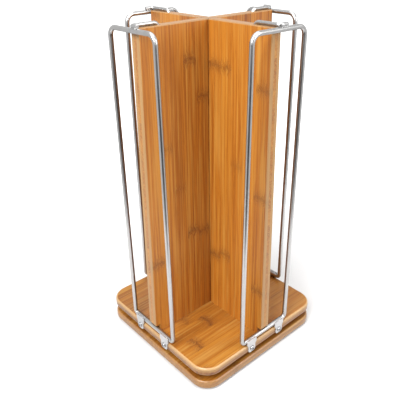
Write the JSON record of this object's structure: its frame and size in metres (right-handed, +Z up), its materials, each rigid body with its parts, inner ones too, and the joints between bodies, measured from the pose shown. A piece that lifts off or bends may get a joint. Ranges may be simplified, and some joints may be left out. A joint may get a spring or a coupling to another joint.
{
  "type": "revolving coffee disc holder",
  "caption": "Revolving bamboo tower with a cross of two panels and a wire rack on each arm, which holds stacks of flat coffee discs.",
  "frame": {"origin": "centre of the footprint, on the surface that the feet stand on", "axes": "+Z up along the axis that it turns about, X and Y along the boards' sides and the panels"},
  "size_m": [0.1954, 0.1954, 0.3822],
  "materials": {
    "board_bamboo": "satin lacquered bamboo, grain along Y",
    "panel_bamboo": "satin lacquered bamboo, grain upright",
    "rack_wire": "satin plated wire",
    "tab_sheet": "matte plated sheet",
    "tab_screw": "plated",
    "wood_screw": "zinc plated",
    "bearing_steel": "zinc plated sheet",
    "bearing_ball": "polished",
    "foot_rubber": "matte"
  },
  "bodies": {
    "base": {"base_board": "board_bamboo", "foot_1": "foot_rubber", "foot_2": "foot_rubber", "foot_3": "foot_rubber", "foot_4": "foot_rubber", "bearing_lower_plate": "bearing_steel", "bearing_lower_screws": "wood_screw"},
    "turntable": {"bearing_upper_plate": "bearing_steel", "bearing_upper_screws": "wood_screw", "turntable_board": "board_bamboo", "panel_x": "panel_bamboo", "panel_y": "panel_bamboo", "panel_screws": "wood_screw", "rack_wire_1": "rack_wire", "rack_wire_2": "rack_wire", "rack_wire_3": "rack_wire", "rack_wire_4": "rack_wire", "rack_tongue_1": "rack_wire", "rack_tongue_2": "rack_wire", "rack_tongue_3": "rack_wire", "rack_tongue_4": "rack_wire", "rack_tab_1a": "tab_sheet", "rack_tab_1b": "tab_sheet", "rack_tab_2a": "tab_sheet", "rack_tab_2b": "tab_sheet", "rack_tab_3a": "tab_sheet", "rack_tab_3b": "tab_sheet", "rack_tab_4a": "tab_sheet", "rack_tab_4b": "tab_sheet", "tab_screws_1": "tab_screw", "tab_screws_2": "tab_screw", "tab_screws_3": "tab_screw", "tab_screws_4": "tab_screw"},
    "ball_ring": {"bearing_balls": "bearing_ball"}
  },
  "joints": [
    {"name": "turntable_spin", "type": "hinge", "parent": "base", "child": "turntable", "pos_m": [0, 0, 0.0165], "axis": [0, 0, 1], "continuous": true},
    {"name": "ball_orbit", "type": "hinge", "parent": "base", "child": "ball_ring", "pos_m": [0, 0, 0.0165], "axis": [0, 0, 1], "continuous": true}
  ],
  "couplings": [
    {"joint": "ball_orbit", "follows": "turntable_spin", "ratio": 0.5}
  ]
}
